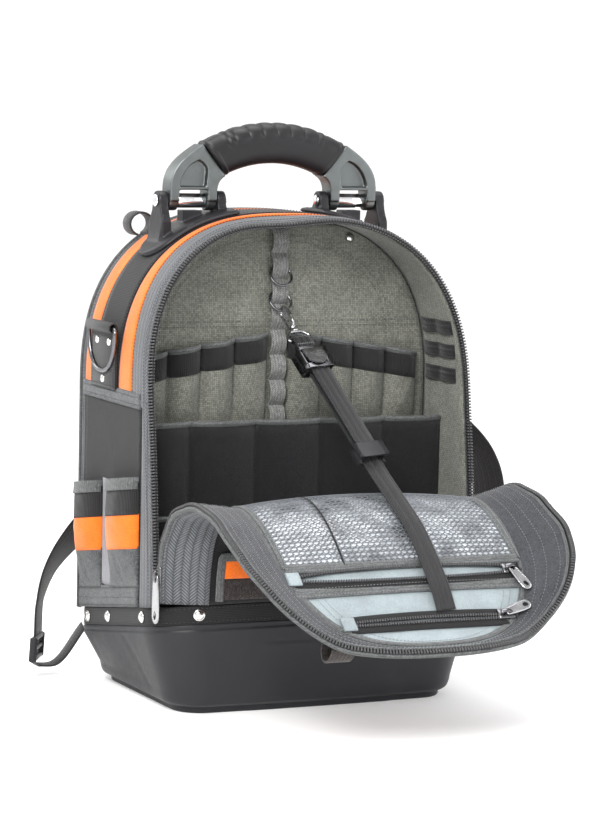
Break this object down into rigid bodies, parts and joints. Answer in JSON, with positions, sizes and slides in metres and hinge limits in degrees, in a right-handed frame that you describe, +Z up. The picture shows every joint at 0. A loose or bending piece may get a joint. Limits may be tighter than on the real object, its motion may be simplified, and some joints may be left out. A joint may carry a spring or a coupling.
{
  "type": "tool backpack",
  "caption": "Upright tool backpack with a moulded base, an arched cloth body, a folding carry handle and its front cover unzipped and folded down.",
  "frame": {"origin": "centre of the underside of the moulded base", "axes": "+Z up, -Y to the front where the cover is folded down, +X to the right seen from the front"},
  "size_m": [0.4936, 0.4829, 0.546],
  "materials": {
    "tub": "fine grained black moulded plastic",
    "band_webbing": "black woven webbing",
    "chrome": "polished",
    "grey_cloth": "grey woven cloth",
    "zip": "black zip teeth on tape",
    "webbing": "black webbing",
    "orange_cloth": "orange woven cloth",
    "black_cloth": "black woven cloth",
    "grey_webbing": "grey webbing",
    "dark_metal": "blackened steel",
    "black_plastic": "black moulded plastic",
    "alloy": "satin grey die casting",
    "rubber": "black moulded rubber",
    "light_cloth": "light grey lining",
    "mesh": "grey diamond mesh over a pale backing"
  },
  "bodies": {
    "pack": {"base_tub": "tub", "base_band": "band_webbing", "rivet_01": "chrome", "rivet_02": "chrome", "rivet_03": "chrome", "rivet_04": "chrome", "rivet_05": "chrome", "rivet_06": "chrome", "shell_wall": "grey_cloth", "zipper_shell": "zip", "zipper_rear": "zip", "spine_band": "webbing", "stripe_front": "orange_cloth", "stripe_rear": "orange_cloth", "back_cover": "black_cloth", "divider_panel": "grey_cloth", "pocket_row_upper_left": "grey_cloth", "pocket_row_upper_right": "grey_cloth", "pocket_row_middle": "black_cloth", "pocket_row_front": "black_cloth", "webbing_column": "grey_webbing", "ring_upper": "dark_metal", "ring_lower": "dark_metal", "side_pocket_front_left": "grey_cloth", "side_pocket_rear_left": "grey_cloth", "side_pocket_front_right": "grey_cloth", "side_pocket_rear_right": "grey_cloth", "ring_tab_left": "webbing", "ring_tab_right": "webbing", "handle_bracket_right": "black_plastic", "handle_bracket_left": "black_plastic", "handle_pin_right": "chrome", "handle_pin_left": "chrome", "flap_panel": "light_cloth", "flap_border": "grey_cloth", "zipper_flap": "zip", "mesh_pocket": "mesh", "flap_zip_upper": "zip", "flap_zip_lower": "zip", "flap_outer_pocket": "black_cloth", "strap_hook": "dark_metal", "support_strap": "webbing", "strap_buckle": "dark_metal", "strap_keeper": "black_plastic", "flap_loop": "webbing", "strap_yoke": "webbing", "shoulder_strap_left": "webbing", "shoulder_buckle_left": "black_plastic", "shoulder_anchor_left": "webbing", "shoulder_strap_right": "webbing", "shoulder_buckle_right": "black_plastic", "shoulder_anchor_right": "webbing"},
    "handle": {"handle_grip": "rubber", "handle_arm_left": "alloy", "handle_arm_right": "alloy"},
    "main_pull_body": {"main_pull": "chrome"},
    "flap_pull_upper_body": {"flap_pull_upper": "chrome"},
    "flap_pull_lower_body": {"flap_pull_lower": "chrome"},
    "d_ring_left_body": {"d_ring_left": "dark_metal"},
    "d_ring_right_body": {"d_ring_right": "dark_metal"}
  },
  "joints": [
    {"name": "handle_fold", "type": "hinge", "parent": "pack", "child": "handle", "pos_m": [0, 0.028, 0.471], "axis": [1, 0, 0], "range_deg": [-65, 65]},
    {"name": "main_pull_swing", "type": "hinge", "parent": "pack", "child": "main_pull_body", "pos_m": [-0.1673, -0.104, 0.132], "axis": [0, 1, 0], "range_deg": [0, 110]},
    {"name": "flap_pull_upper_lift", "type": "hinge", "parent": "pack", "child": "flap_pull_upper_body", "pos_m": [0.115, -0.26619, 0.15264], "axis": [-0.9511, -0.235, -0.2006], "range_deg": [0, 110]},
    {"name": "flap_pull_lower_lift", "type": "hinge", "parent": "pack", "child": "flap_pull_lower_body", "pos_m": [0.091, -0.30468, 0.1182], "axis": [0.309, -0.7245, -0.6161], "range_deg": [0, 110]},
    {"name": "d_ring_left_swing", "type": "hinge", "parent": "pack", "child": "d_ring_left_body", "pos_m": [-0.1727, 0.027, 0.3519], "axis": [0, 1, 0], "range_deg": [0, 150]},
    {"name": "d_ring_right_swing", "type": "hinge", "parent": "pack", "child": "d_ring_right_body", "pos_m": [0.1727, 0.027, 0.3519], "axis": [0, -1, 0], "range_deg": [0, 150]}
  ]
}
